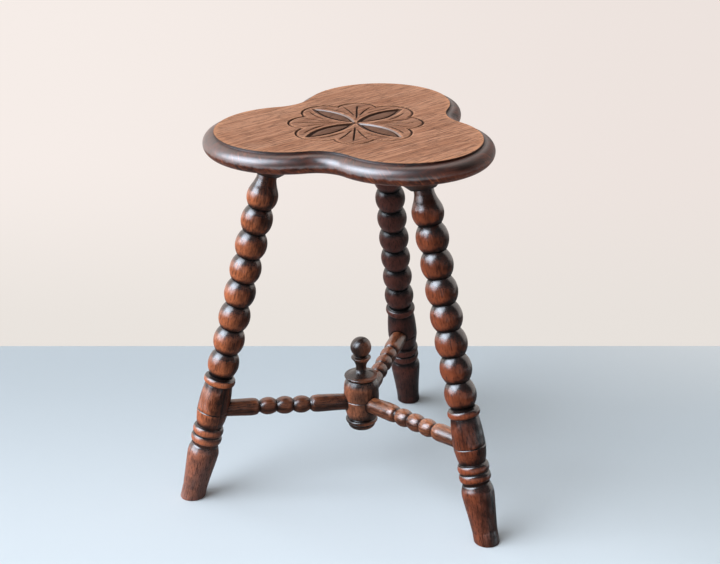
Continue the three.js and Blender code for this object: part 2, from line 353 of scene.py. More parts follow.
def stretcher_profile(seed):
    """Lengths from the hub's axis and radii: a plain bar each side of three beads."""
    start = STRETCHER_BEADS["first"] - STRETCHER_BEADS["pitch"] / 2
    end = start + STRETCHER_BEADS["pitch"] * STRETCHER_BEADS["count"]
    return np.vstack([
        [[STRETCHER_START, 9.6]],
        flow([
            [30, 10], [start - 14, 10.5], [start - 9, 10.5], [start - 4, 9.6], [start - 1.4, 7.6],
        ], 34),
        beads(**STRETCHER_BEADS, unevenness=unevenness(seed, 3, 0.015), steps=20),
        flow([[end + 1.4, 7.6], [end + 4, 9.6], [end + 9, 10.5], [end + 14, 10.5], [160, 10]], 34),
        [[STRETCHER_END, 9.3]],
    ])


def hub_profile():
    """A barrel with a line scribed round its middle, drawn in to the drop below."""
    return np.vstack([
        [[HUB_BOTTOM, 13.5]],
        flow([
            [HUB_BOTTOM + 0.1, 15.8], [HUB_BOTTOM + 1.8, 17.6],
            [94, 20.3], [HUB_SCRIBE - 2, HUB_RADIUS],
        ], 26),
        scribed(HUB_SCRIBE, HUB_RADIUS),
        flow([[HUB_SCRIBE + 2, HUB_RADIUS], [124, 20.6], [HUB_TOP - 0.6, 17.8]], 26),
        [[HUB_TOP, 17]],
    ])


def finial_profile():
    """A brim, a trumpet-shaped neck that opens into a cup, and a ball sitting in the cup."""
    cone = -math.sqrt(BALL_RADIUS**2 - BALL_SEAT_RADIUS**2) / BALL_RADIUS
    return np.vstack([
        [[HUB_TOP - 0.2, 16.6]],
        flow([[133.2, 17.6], [134.6, 19.3], [135.4, 20.1], [136.2, 20.2], [137.1, 19.6]], 16),
        flow([
            [137.3, 19], [138.3, 14.4], [142.5, 7.8], [148, 6.2], [153.6, 7.9], [158.6, 11.3],
        ], 44),
        flow([[158.9, 11.6], [159.6, 11.8], [160.4, 11.4], [162, 8.2]], 12),
        swell(BALL_CENTRE, BALL_RADIUS, BALL_RADIUS, cone, 0.998, steps=36),
    ])


def drop_profile():
    """A rounded cap with a ring above it, tucked up under the hub."""
    return np.vstack([
        [[67.6, 11.2]],
        flow([[67.9, 12.6], [68.9, 14.4], [70.8, 15.9], [73.6, 16.5], [75, 16.1]], 18),
        ring(78.1, 2.9, 19.2, 2.9),
        [[HUB_BOTTOM + 0.4, 15]],
    ])


# %% [markdown]
# Every joint of an old stool is dark where one piece enters another: partly wax and dirt, and
# partly painted shade, for the shade that falls into the joint. Each point of a surface
# therefore notes how near it lies to the pieces it meets. The neighbours are turned too, so that
# distance is worked out flat, in height and radius, in their own frames.


# %% Nearness to the neighbours
LOOK_WITHIN = 12


def nearness(points, neighbours, fade=1.6):
    """exp(-distance / fade), with the distance in millimetres to the nearest neighbour's
    profile, and 1 for a point inside a neighbour. Points far from a neighbour are skipped."""
    result = np.zeros(len(points))
    for profile, pose in neighbours:
        local = own(points, pose)
        height, radius = local[:, 2], np.hypot(local[:, 0], local[:, 1])
        even = np.linspace(profile[0, 0], profile[-1, 0], 160)
        around = np.interp(even, profile[:, 0], profile[:, 1])
        close = (height > even[0] - LOOK_WITHIN) & (height < even[-1] + LOOK_WITHIN)
        close &= radius < around.max() + LOOK_WITHIN
        h, r = height[close], radius[close]
        gap = np.hypot(h[:, None] - even, r[:, None] - around).min(1)
        inside = (h > even[0]) & (h < even[-1]) & (r < np.interp(h, even, around))
        result[close] = np.maximum(result[close], np.where(inside, 1, np.exp(-gap / fade)))
    return result


def facing(piece, way=(0, 0, 1)):
    """How squarely the surface faces a way, the sky if none is given, at each point: normal
    times way, so 1 towards it and -1 away from it."""
    normals = np.empty(len(piece.data.vertices) * 3, np.float32)
    piece.data.vertex_normals.foreach_get("vector", normals)
    return normals.reshape(-1, 3) @ np.array(way)


# %% [markdown]
# One function makes every turned piece from its profile. It also notes what the finish has to
# know at each point: how the grain runs, the crests and grooves, the joints, and the side that
# hands and feet have rubbed and that faces the light; its lighter colour is partly wear and
# partly painted light.

# %% From a profile to a placed piece
NO_ROWS = np.empty((0, SIDES, 3))
HAND_WAVE = 45
HAND_HEIGHT = 0.16
LOG_STEP = np.array([37.0, 11.0, 53.0])

pieces = {}


def turned_piece(name, turning, node, neighbours, seed,
                 worn_and_lit_way=0.0, below=NO_ROWS, above=NO_ROWS, relief_reach=9):
    """Spins a turning's profile, adds level-cut rows below or above it, lets it wander a little
    by hand and places it. Then it notes the piece's grain, cut from its own part of the log, its
    relief, its nearness to its neighbours, how squarely each point faces up and, as a cosine,
    the side that is handled most and faces the light, which the finish paints lighter, partly
    as wear and partly as painted light."""
    profile, pose = turning
    grid = np.concatenate([below, spun(profile, SIDES), above])
    relief = np.repeat(standing(profile, relief_reach)[:, None], SIDES, 1)
    relief = np.concatenate([np.zeros(below.shape[:2]), relief, np.zeros(above.shape[:2])])
    loose = np.concatenate([
        np.linspace(0, 1, len(below)), np.ones(len(profile)), np.linspace(1, 0, len(above)),
    ])
    flat = grid.reshape(-1, 3)
    away = flat * [1, 1, 0] / np.maximum(np.hypot(flat[:, 0], flat[:, 1]), 1e-6)[:, None]
    shift = (away * wander(seed, flat, HAND_WAVE, HAND_HEIGHT)[:, None]).reshape(grid.shape)
    grid = grid + shift * loose[:, None, None]
    piece = skin(name, placed(grid.reshape(-1, 3), pose).reshape(grid.shape))
    points = points_of(piece)
    at = own(points, pose)
    note(piece, "grain", (at + seed * LOG_STEP) * MM)
    note(piece, "worn and lit side", np.cos(np.arctan2(at[:, 1], at[:, 0]) - worn_and_lit_way))
    note(piece, "upward", facing(piece))
    note(piece, "relief", np.concatenate([relief.ravel(), relief[0, :1], relief[-1, :1]]))
    note(piece, "seam", nearness(points, neighbours))
    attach(piece, "root")
    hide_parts(node)
    pieces[node] = piece
    print(f"{name}: {len(piece.data.polygons)} faces, {profile[-1, 0] - profile[0, 0]:.0f} mm long")


# %% [markdown]
# A turning is a profile with its pose. All of them are worked out first, because each piece
# asks for its neighbours' turnings when it notes its joints.

# %% Turn the legs, stretchers, hub, finial and drop
LEGS = {
    place: (leg_profile(seed), leg_pose(azimuth))
    for seed, (place, azimuth) in enumerate(PLACES.items(), 1)
}
STRETCHERS = {
    place: (stretcher_profile(seed), stretcher_pose(azimuth))
    for seed, (place, azimuth) in enumerate(PLACES.items(), 11)
}
HUB = (hub_profile(), HUB_AXIS)
FINIAL = (finial_profile(), HUB_AXIS)
DROP = (drop_profile(), HUB_AXIS)

# The ways in which the lighter, rubbed side of the legs and the hub faces: towards the light, so
# that its lighter colour is partly painted light.
LEG_WORN_AND_LIT_WAYS = {"rear": math.pi, "front_left": 0.3, "front_right": -1.5}
HUB_WORN_AND_LIT_WAY = math.radians(225)
ON_TOP = math.pi
SOLE_ROWS = 14
SOLE_EDGE = 1.3

for seed, place in enumerate(PLACES, 1):
    turned_piece(
        f"bobbin_leg_{place}", LEGS[place], f"leg_{place}", [STRETCHERS[place]],
        seed, LEG_WORN_AND_LIT_WAYS[place],
        below=level_cut(FOOT_RADIUS, floor_line, FOOT_ROWS_FROM - 0.4, SOLE_ROWS, SOLE_EDGE),
    )
    turned_piece(
        f"bobbin_stretcher_{place}", STRETCHERS[place], f"stretcher_{place}",
        [LEGS[place], HUB], seed + 10, ON_TOP, relief_reach=6,
    )

turned_piece(
    "turned_hub", HUB, "hub", [*STRETCHERS.values(), FINIAL, DROP], 21, HUB_WORN_AND_LIT_WAY,
)
turned_piece("ball_finial", FINIAL, "finial", [HUB], 22, relief_reach=5)
turned_piece("hub_pendant", DROP, "hub_drop", [HUB], 23, relief_reach=5)

# %% [markdown]
# Under the seat each leg's neck passes through a small conical block, glued on to thicken the
# board there. It is turned on the leg's axis and cut level where it meets the board, the same
# way as the foot.

# %% Pads under the seat
PAD_START = 412.6
PAD_SMALL_RADIUS = 14.8
PAD_LARGE_RADIUS = 25
PAD_BARREL_FROM = 424


def seat_line(x):
    """Height along a leg at which it meets the seat's underside, x out from its axis."""
    return (SEAT_BOTTOM + 0.3 - x * math.sin(LEG_SPLAY)) / math.cos(LEG_SPLAY)


def pad_profile():
    """A cone from the leg's neck out to the block's full width, with a narrow flat at its small
    end."""
    return np.vstack([
        [[PAD_START, NECK[1] - 0.6], [PAD_START, PAD_SMALL_RADIUS - 0.5]],
        flow([
            [PAD_START + 0.4, PAD_SMALL_RADIUS],
            [PAD_START + 9, PAD_LARGE_RADIUS - 1],
            [PAD_START + 10, PAD_LARGE_RADIUS - 0.3],
            [PAD_BARREL_FROM - 0.6, PAD_LARGE_RADIUS],
        ], 18),
    ])


PAD_PROFILE = pad_profile()
PAD_TOP_ROWS = 8
SHARP_EDGE = 0.01

for seed, (place, azimuth) in enumerate(PLACES.items(), 31):
    top = level_cut(PAD_LARGE_RADIUS, seat_line, PAD_BARREL_FROM, PAD_TOP_ROWS, SHARP_EDGE)[::-1]
    turned_piece(
        f"pad_block_{place}", (PAD_PROFILE, leg_pose(azimuth)), f"pad_{place}",
        [LEGS[place]], seed, above=top, relief_reach=4,
    )

# %% [markdown]
# The seat is one oak board sawn to a clover: three round lobes joined by hollow notches, with
# circles that touch where they meet. Its rim drops a small step from the top and then swells
# out in a half-round nose. The whole board is one grid. Its rows start at the middle of the
# rosette, spread over the top, run down round the nose and close under the middle again, so
# there is no seam anywhere.

# %% The seat's outline
LOBE_RADIUS = 83.5
LOBE_OUT = 78.5
NOTCH_RADIUS = 49
NOTCH_OUT = LOBE_OUT / 2 + math.sqrt((LOBE_RADIUS + NOTCH_RADIUS) ** 2 - 0.75 * LOBE_OUT**2)
RIM_BULGE = 12.5
QUIRK_DEPTH = 2.6
QUIRK_WIDTH = 1.2
QUIRK_FALL = 0.4
OUTLINE_POINTS = 600
ROSETTE_CENTRE = np.array([-3.0, 1.0])


def clover(offset, count=4000):
    """The outline moved outwards by an offset: lobe arcs of radius + offset and notch arcs of
    radius - offset round the same centres, so that every offset has matching points."""
    notch = NOTCH_OUT * np.array([0.5, math.sqrt(0.75)])
    touch = math.atan2(notch[1], notch[0] - LOBE_OUT)
    sweeps = np.array([2 * touch * LOBE_RADIUS, (2 * touch - math.radians(120)) * NOTCH_RADIUS])
    t = np.linspace(0, sweeps.sum(), count // 3, endpoint=False)
    on_lobe = t < sweeps[0]
    lobe_angle = -touch + t / LOBE_RADIUS
    notch_angle = touch + math.pi - (t - sweeps[0]) / NOTCH_RADIUS
    centre = np.where(on_lobe[:, None], [LOBE_OUT, 0], notch)
    radius = np.where(on_lobe, LOBE_RADIUS + offset, NOTCH_RADIUS - offset)
    angle = np.where(on_lobe, lobe_angle, notch_angle)
    third = centre + radius[:, None] * np.stack([np.cos(angle), np.sin(angle)], -1)
    return np.vstack([
        third @ [[math.cos(a), math.sin(a)], [-math.sin(a), math.cos(a)]] for a in PLACES.values()
    ])


def choose_columns():
    """Which of the outline's fine points carry a column of the grid: evenly spread in a blend
    of length along the outline and angle round the rosette, so that both get enough."""
    edge = clover(0)
    length = np.linalg.norm(np.diff(edge, axis=0, append=edge[:1]), axis=1)
    angle = np.unwrap(np.arctan2(*(edge - ROSETTE_CENTRE).T[::-1]))
    swing = np.abs(np.diff(angle, append=angle[0] + 2 * math.pi))
    travelled = np.cumsum(0.45 * length / length.sum() + 0.55 * swing / swing.sum())
    return np.searchsorted(travelled, np.linspace(0, 1, OUTLINE_POINTS, endpoint=False) + 1e-9)


COLUMNS = choose_columns()
OUTLINE = clover(0)[COLUMNS]
print(f"seat outline {np.ptp(OUTLINE[:, 0]):.0f} by {np.ptp(OUTLINE[:, 1]):.0f} mm inside the rim")

# %% [markdown]
# The rosette is chip carving: every cut is a groove or a hollow sunk into the board, so it can
# be written as a depth for each place on the top. Four lens-shaped petals lie in a cross, along
# and across the grain. Each is a sunk moat round a rounded island. A fine line runs beside the
# petals, fans of veins fill the corners between them, and a scalloped line of eight lobes
# closes the figure. The pattern repeats every quarter turn, so the angle is folded to one
# petal, and a slow wander of the angle and radius keeps the four quarters from being alike.

# %% The rosette's depth
ROSETTE_TURN = math.radians(60)
PETAL_START = 0.8
PETAL_END = 75.5
PETAL_HALF_WIDTH = 12
PETAL_DEPTH = 2.0
STEEP_WALL = 2.1
GENTLE_WALL = 5.0
BESIDE_PETAL = 5.2
CUSP_RADIUS = 64
CUSP_ANGLE = math.radians(24.6)
PETAL_LOBE_TIP = 79.5
FAN_LOBE_TIP = 76.0
WELL_INSIDE = 48
CARVED_RADIUS = 82


def vee(distance, half_width, depth):
    """A V cut: full depth on its line, none from half_width on, with slightly rounded lips."""
    share = np.clip(1 - np.abs(distance) / half_width, 0, 1)
    return depth * share ** 1.2


def fade(value, start, full):
    """A smooth step from 0 at start to 1 at full."""
    t = np.clip((value - start) / (full - start), 0, 1)
    return t * t * (3 - 2 * t)


def lobe_line(u, v, half_angle, tip):
    """Signed distance outside the arc through a lobe's tip and its two cusps."""
    x, y = CUSP_RADIUS * math.cos(half_angle), CUSP_RADIUS * math.sin(half_angle)
    centre = (tip**2 - x**2 - y**2) / (2 * (tip - x))
    return np.hypot(u - centre, v) - (tip - centre)


def petal_depth(from_steep, from_gentle):
    """Depth inside a petal, from the distances to its two edges: a steep wall on one side and a
    gentle one on the other, and between their feet an island, half an ellipse across, that
    comes most of the way back up where the petal is wide."""
    walls = np.minimum(from_steep / STEEP_WALL, from_gentle / GENTLE_WALL)
    left, right = from_steep - STEEP_WALL - 0.8, from_gentle - GENTLE_WALL - 0.4
    room = left + right
    share = np.clip(left / np.maximum(room, 0.1), 0, 1)
    island = 2 * np.sqrt(share * (1 - share)) * np.clip(room / 13, 0, 1)
    return PETAL_DEPTH * np.clip(walls, 0, 1) - (PETAL_DEPTH - 0.5) * island


def fan_veins(radius, angle):
    """A vein on the fan's middle line and one on each side, like the ribs of a leaf: the angle
    between them grows evenly with the radius, from 6.5 degrees at 25 mm to 15.5 at 64 mm."""
    middle = vee(radius * angle, 1.4, 1.3) * fade(radius, 12, 24) * fade(-radius, -68, -58)
    rib = math.radians(6.5) + math.radians(9) * (radius - 25) / 39
    side = vee(radius * (angle - rib), 1.35, 1.1) * fade(radius, 22, 36) * fade(-radius, -66, -56)
    return np.maximum(middle, side)


def rosette(x, y):
    """Depth of the carving at places on the seat's top, how dark the old wax lies there, how
    far a place is inside the sunk petals and the figure, and where the lips are worn light."""
    dx, dy = x - ROSETTE_CENTRE[0], y - ROSETTE_CENTRE[1]
    around = np.arctan2(dy, dx) - ROSETTE_TURN
    here = np.stack([dx, dy], -1)
    around = around + wander(41, here, 90, 0.022)
    radius = np.hypot(dx, dy) * (1 + wander(42, here, 110, 0.016))
    folded = (around + math.pi / 4) % (math.pi / 2) - math.pi / 4
    fan = math.pi / 4 - np.abs(folded)
    far = np.sign(np.cos(around - folded + ROSETTE_TURN))
    u, v = radius * np.cos(folded), radius * np.sin(folded) * far
    half = (PETAL_END - PETAL_START) / 2
    bow = (half**2 + PETAL_HALF_WIDTH**2) / (2 * PETAL_HALF_WIDTH)
    from_steep, from_gentle = (
        bow - np.hypot(u - PETAL_START - half, side * v + bow - PETAL_HALF_WIDTH)
        for side in (1, -1)
    )
    inside = np.minimum(from_steep, from_gentle)
    fan_cusp = math.pi / 4 - CUSP_ANGLE
    outside = np.where(
        np.abs(folded) < CUSP_ANGLE,
        lobe_line(u, np.abs(v), CUSP_ANGLE, PETAL_LOBE_TIP),
        lobe_line(radius * np.cos(fan), radius * np.sin(fan), fan_cusp, FAN_LOBE_TIP),
    )
    outside = np.where(radius < WELL_INSIDE, -9, outside)
    faint = 1 + wander(43, here, 60, 0.35)
    outline = 1.7 * np.clip(np.where(outside > 0, 1 - outside, 1 + outside / 2.6), 0, 1)
    outline = outline * np.clip(faint, 0.75, 1)
    beside = vee(inside + BESIDE_PETAL, 1.35, 1.1) * fade(radius, 34, 43) * fade(-radius, -70, -62)
    veins = fan_veins(radius, fan) * (outside < -1.5) * (inside < -1.5)
    lines = np.maximum(beside, veins) * np.clip(faint, 0.5, 1)
    pit = vee(radius, 4.5, 3.4)
    depth = np.maximum.reduce([petal_depth(from_steep, from_gentle), outline, lines, pit])
    wax = np.maximum.reduce([
        vee(from_steep - 3.0, 1.6, 1.6) * (from_gentle > 0),
        vee(from_gentle - 5.6, 1.4, 1.3) * (from_steep > 2),
        vee(outside + 0.2, 1.8, 1.5) * np.clip(faint, 0.75, 1),
        lines / 0.7,
        pit / 3,
    ])
    lip = np.maximum.reduce([
        vee(inside + 0.7, 1.3, 1),
        vee(outside + 2.9, 1.2, 0.7),
        vee(outside - 1.7, 1.1, 1),
    ])
    sunk = np.clip(fade(inside, 0, 0.8) + 0.25 * (outside < 0), 0, 1)
    return depth, np.clip(wax, 0, 1), sunk, np.clip(lip, 0, 1)


# %% [markdown]
# The rows of the seat's grid follow the work: close together over the rosette, wider towards
# the edge, then close again round the arris, the small step and the nose, where the light
# plays. Years of use have left the top uneven by a tenth or two of a millimetre, more in the
# middle than near the edge.

# %% The seat's grid
ARRIS = 0.7
WEAR = 0.12
WEAR_LENGTH = 120
WEAR_FROM, WEAR_FULL = 150, 90
GRAIN_TURN = math.radians(57.6)
WINDOW_SIDE = (-0.95, -0.3, 0)
EDGE_FADE = 2.5
SHOULDER_FADE = 4
INSIDE_SEAT = 460


def rim_section():
    """Offsets and heights down the rim: worn arris, step, ledge, then half an ellipse."""
    arris = [
        [ARRIS * (math.sin(a) - 1), SEAT_TOP - ARRIS * (1 - math.cos(a))]
        for a in np.linspace(0.2, math.pi / 2, 5)
    ]
    foot = SEAT_TOP - QUIRK_DEPTH
    ledge = [[0, foot + 0.4], [0.12, foot + 0.1], [0.4, foot], [QUIRK_WIDTH - 0.3, foot - 0.05]]
    top = foot - QUIRK_FALL
    middle, half = (top + SEAT_BOTTOM) / 2, (top - SEAT_BOTTOM) / 2
    turn = np.linspace(0.06, math.pi - 0.04, 30)
    out = QUIRK_WIDTH + (RIM_BULGE - QUIRK_WIDTH) * np.sin(turn)
    nose = np.stack([out, middle + half * np.cos(turn)], -1)
    return np.vstack([arris, ledge, nose])


def seat_grid():
    """Rows of the seat from the rosette's middle to the middle of the underside, and how many
    of them are on the top and on the rim."""
    away = OUTLINE - ROSETTE_CENTRE
    round_edge = ROSETTE_CENTRE + away / np.linalg.norm(away, axis=1)[:, None] * CARVED_RADIUS
    rings = np.linspace(0.35, CARVED_RADIUS, 108)[:, None, None] / CARVED_RADIUS
    carved = ROSETTE_CENTRE + (round_edge - ROSETTE_CENTRE) * rings
    inner_edge = clover(-ARRIS * 1.3)[COLUMNS]
    shares = np.linspace(0, 1, 11)[1:, None, None]
    plain = round_edge + (inner_edge - round_edge) * shares
    flat_rows = np.concatenate([carved, plain])
    top = np.concatenate([flat_rows, np.full(flat_rows.shape[:2] + (1,), SEAT_TOP)], -1)
    section = rim_section()
    rim = np.stack([
        np.column_stack([clover(offset)[COLUMNS], np.full(OUTLINE_POINTS, height)])
        for offset, height in section
    ])
    shares = np.array([0.97, 0.8, 0.5, 0.2, 0.03])[:, None, None]
    under = OUTLINE * shares
    below = np.concatenate([under, np.full(under.shape[:2] + (1,), SEAT_BOTTOM)], -1)
    return np.concatenate([top, rim, below]), len(flat_rows), len(section)


def make_seat():
    """Carves the rosette into the grid's top rows and notes what the finish needs: the wax in
    the cuts, the sunk and the lifted parts, the rim and its darker shoulder by the quirk, the
    worn edge, and how squarely each point faces up and towards the window's side, by which the
    finish paints shade on the carved slopes that face away from it."""
    grid, top_rows, rim_rows = seat_grid()
    depth, cut, sunk, lip = rosette(grid[..., 0], grid[..., 1])
    rows = np.arange(len(grid))
    on_top = (rows < top_rows)[:, None]
    worn = np.minimum(wander(51, grid[..., :2], WEAR_LENGTH, WEAR) - WEAR, 0)
    worn = worn * fade(-np.hypot(grid[..., 0], grid[..., 1]), -WEAR_FROM, -WEAR_FULL)
    grid[..., 2] += np.where(on_top, worn - depth, 0)
    rim_share = np.clip((rows - top_rows + 1) / 4, 0, 1)[:, None] + 0 * cut
    section = np.vstack([[0, SEAT_TOP], rim_section()])
    down = np.concatenate([[0], np.cumsum(np.linalg.norm(np.diff(section, axis=0), axis=1))])
    down_rim = down[np.clip(rows - top_rows + 1, 0, rim_rows)][:, None]
    step = np.linalg.norm(np.diff(OUTLINE, axis=0, append=OUTLINE[:1]), axis=1)
    along = np.concatenate([[0], np.cumsum(step)[:-1]])[None, :]
    edge_distance = np.linalg.norm(grid[..., :2] - OUTLINE, axis=-1)
    flat = placed(grid.reshape(-1, 3), HUB_AXIS)
    piece = skin("clover_seat", flat.reshape(grid.shape), downward=True)

    def spread(values):
        """One value for each point of the grid, and its ends' values for the two middles."""
        flat = np.broadcast_to(values, grid.shape[:2]).ravel()
        return np.concatenate([flat, flat[:1], flat[-1:]])

    points = own(points_of(piece), HUB_AXIS)
    across = points[:, 0] * math.sin(GRAIN_TURN) - points[:, 1] * math.cos(GRAIN_TURN)
    lengthwise = points[:, 0] * math.cos(GRAIN_TURN) + points[:, 1] * math.sin(GRAIN_TURN)
    note(piece, "grain", np.stack([across, points[:, 2], lengthwise], -1) * MM)
    top_only = {"cut": cut, "sunk": sunk, "lip": lip, "edge": np.exp(-edge_distance / EDGE_FADE)}
    for name, values in top_only.items():
        note(piece, name, spread(np.where(on_top, values, 0)))
    note(piece, "rim", spread(rim_share))
    note(piece, "shoulder", spread(np.exp((down[1] - down_rim) / SHOULDER_FADE) * rim_share))
    round_rim = [spread(along), spread(down_rim), spread(0)]
    note(piece, "round_rim", np.stack(round_rim, -1) * MM)
    note(piece, "upward", facing(piece))
    note(piece, "leftward", facing(piece, WINDOW_SIDE))
    reaching = np.vstack([PAD_PROFILE, [[INSIDE_SEAT, PAD_LARGE_RADIUS]]])
    pads = [(reaching, leg_pose(azimuth)) for azimuth in PLACES.values()]
    note(piece, "seam", nearness(points_of(piece), pads))
    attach(piece, "root")
    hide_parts("seat")
    print(f"clover_seat: {len(piece.data.polygons)} faces, carving {depth.max():.1f} mm deep")
    return piece


pieces["seat"] = make_seat()

# %% [markdown]
# ## Finishes
# Every finish here is oak under an old, dark, waxed stain. Oak has long streaks of lighter and
# darker wood and open pores, short dark dashes along the grain. Both come from noise that is
# stretched along the grain. A node group holds them, because each turned and carved piece uses
# the same wood with its own stain.


# %% Short ways to write nodes
class Value:
    """What comes out of a node, so that a finish can be written as a sum."""

    def __init__(self, socket):
        self.socket = socket
        self.tree = socket.id_data

    def maths(self, operation, other=0.0, clamp=False):
        """One step of arithmetic with another value."""
        inputs = {0: self, 1: other}
        return add(self.tree, "Math", inputs, operation=operation, use_clamp=clamp)["Value"]

    def __add__(self, other):
        return self.maths("ADD", other)

    def __sub__(self, other):
        return self.maths("SUBTRACT", other)

    def __mul__(self, other):
        return self.maths("MULTIPLY", other)

    def __truediv__(self, other):
        return self.maths("DIVIDE", other)

    def stretched(self, *factors):
        """A vector with each of its three parts multiplied by its own factor."""
        inputs = {0: self, 1: factors}
        return add(self.tree, "VectorMath", inputs, operation="MULTIPLY")["Vector"]

    def along(self, way):
        """How far a place lies in a given way."""
        return add(self.tree, "VectorMath", {0: self, 1: way}, operation="DOT_PRODUCT")["Value"]

    def between(self, low, high, to_low=0.0, to_high=1.0):
        """A smooth step from one range to another."""
        inputs = {
            "Value": self, "From Min": low, "From Max": high, "To Min": to_low, "To Max": to_high,
        }
        return add(self.tree, "MapRange", inputs, interpolation_type="SMOOTHSTEP")["Result"]


def fill(inputs, values):
    """Links or sets inputs, by their place or their name."""
    for name, value in dict(values).items():
        if isinstance(value, Value):
            value.tree.links.new(value.socket, inputs[name])
        else:
            inputs[name].default_value = value


def outputs_of(node):
    """What comes out of a node, by place and by name."""
    values = {}
    for place, socket in enumerate(node.outputs):
        values[place] = values[socket.name] = Value(socket)
    return values


def add(tree, kind, inputs=(), **settings):
    """Adds a shader node with its settings and inputs, and returns what comes out of it."""
    node = tree.nodes.new("ShaderNode" + kind)
    for name, value in settings.items():
        setattr(node, name, value)
    fill(node.inputs, inputs)
    return outputs_of(node)


def largest(value, *others):
    """The largest of two or more values."""
    for other in others:
        value = value.maths("MAXIMUM", other)
    return value


def noise(vector, scale, detail=3.0, roughness=0.55, distortion=0.0):
    """Cloudy values round 0.5, `scale` clouds to the metre."""
    return add(vector.tree, "TexNoise", {
        "Vector": vector, "Scale": scale,
        "Detail": detail, "Roughness": roughness, "Distortion": distortion,
    })["Fac"]


def colour(red, green, blue):
    """A colour given as on a screen, 0 to 255, in the linear values that shaders use."""
    parts = np.array([red, green, blue]) / 255
    linear = np.where(parts > 0.04045, ((parts + 0.055) / 1.055) ** 2.4, parts / 12.92)
    return (*linear.tolist(), 1.0)


def blend(share, below, above, how="MIX"):
    """Two colours mixed, or laid over each other, by a share from 0 to 1."""
    below, above = (
        given if isinstance(given, Value) else colour(*given) for given in (below, above)
    )
    inputs = {0: share, 6: below, 7: above}
    return add(
        share.tree, "Mix", inputs, data_type="RGBA", blend_type=how, clamp_factor=True,
    )[2]


def group(name, values_in, values_out):
    """An empty node group. The first value in is a vector, and all the others are numbers."""
    tree = bpy.data.node_groups.new(name, "ShaderNodeTree")
    for place, value in enumerate(values_in):
        kind = "NodeSocketFloat" if place else "NodeSocketVector"
        tree.interface.new_socket(value, in_out="INPUT", socket_type=kind)
    for value in values_out:
        tree.interface.new_socket(value, in_out="OUTPUT", socket_type="NodeSocketFloat")
    given = outputs_of(tree.nodes.new("NodeGroupInput"))
    return tree, given, tree.nodes.new("NodeGroupOutput").inputs


# %% [markdown]
# Three node groups hold what the finishes share: the wood itself, the dirt, wear and wax of
# an old finish together with painted light and shade, and the fine marks of a tool. They give
# out plain shares, and each material decides which colours and which gloss these stand for.


# %% Oak
def oak_group():
    """Streaks, growth rings and pores of oak, for coordinates whose third part runs along the
    grain. Streaks and pores are noise stretched 16 to 22 times along it. Rings = the fraction
    of (distance across / ring width + 9 bends), as a smooth hump."""
    tree, given, made = group(
        "Oak grain", ["Grain", "Ring width"], ["Streaks", "Rings", "Pores"],
    )
    grain = given["Grain"]
    bend = noise(grain.stretched(1, 1, 0.12), 22, 2)
    across = add(tree, "SeparateXYZ", {0: grain})["X"]
    bands = (across / given["Ring width"] + bend * 9).maths("FRACT")
    rings = bands.between(0, 0.35) * bands.between(1, 0.55)
    fine = noise(grain.stretched(1, 1, 0.045), 1500, 2, 0.5) + rings * 0.05
    coarse = noise(grain.stretched(1, 1, 0.05), 620, 2, 0.6) + rings * 0.05
    fill(made, {
        "Streaks": noise(grain.stretched(1, 1, 0.06), 170, 4, 0.62, 0.4),
        "Rings": rings,
        "Pores": largest(fine.between(0.58, 0.68), coarse.between(0.60, 0.68)),
    })
    return tree


def patina_light_and_shade_group():
    """Where an old finish is dark, where it is light and where its wax still shines. Dark = the
    largest of hollow, seam and the darkening of what faces up: black wax in the hollows, and at
    the seams dirt together with painted shade. Light = relief and the side that faces the light,
    less the darkening on top: rubbed crests, and painted light on that side. Wax lies on what
    faces up, but not in the hollows. Noise breaks up all three."""
    tree, given, made = group(
        "Old finish, light and shade",
        ["Grain", "Relief", "Seam", "Worn and lit side", "Upward", "Darker on top"],
        ["Grime and shade", "Rubbed and lit", "Wax", "Cloud"],
    )
    grain, relief, seam, upward = (given[name] for name in ("Grain", "Relief", "Seam", "Upward"))
    cloud = noise(grain.stretched(1, 1, 0.45), 42, 4, 0.6)
    patch = noise(grain.stretched(1, 1, 0.6), 130, 4, 0.65) - 0.5
    uneven = (cloud - 0.5) * 1.6
    hollow = relief * upward.between(0.7, 0.95, -1, 0)
    # What faces up is made darker, by the given amount.
    darker_on_top = largest(upward - 0.35, 0.0) * given["Darker on top"]
    grime_and_shade = largest(hollow, seam, darker_on_top) + uneven * 0.25
    rubbed = relief.maths("MINIMUM", 0.5) + patch + uneven * 0.5 + given["Worn and lit side"] * 0.5 - darker_on_top
    wax = (upward + patch * 0.6).between(0.12, 0.46)
    dry = largest(hollow, seam).between(0.45, 1)
    fill(made, {
        "Grime and shade": grime_and_shade.between(0.12, 0.85),
        "Rubbed and lit": rubbed.between(0, 0.95),
        "Wax": wax.maths("SUBTRACT", dry, clamp=True),
        "Cloud": cloud,
    })
    return tree


def marks_group():
    """Fine tool marks: noise with one cloud to each spacing, for a place that is squeezed in
    the direction along the marks."""
    tree, given, made = group("Tool marks", ["Place", "Spacing"], ["Marks"])
    inputs = {0: 1.0, 1: given["Spacing"]}
    to_the_metre = add(tree, "Math", inputs, operation="DIVIDE")["Value"]
    fill(made, {"Marks": noise(given["Place"], to_the_metre)})
    return tree


OAK = oak_group()
PATINA_LIGHT_AND_SHADE = patina_light_and_shade_group()
MARKS = marks_group()
print("node groups:", [tree.name for tree in (OAK, PATINA_LIGHT_AND_SHADE, MARKS)])

# %% [markdown]
# One function finishes all the turned pieces. The stain runs from near black in the grooves to
# red-brown, and orange oak shows through where a bead is rubbed by hands and feet. The orange is
# also painted on the side of each piece that faces the light, as painted light, the near black
# round the joints is partly painted shade, and what faces up is made darker. The wax on top is a
# clear coat, so the window shows in every bead, with a softer gloss underneath.

# %% Turned and stained oak
# Near black: wax in the grooves, painted shade and dirt round the joints, and the darkening of what
# faces up.
BLACK_WAX_AND_SHADE = (17, 10, 8)
GREYED_OAK = (150, 112, 102)
LATHE_MARKS = 0.0006


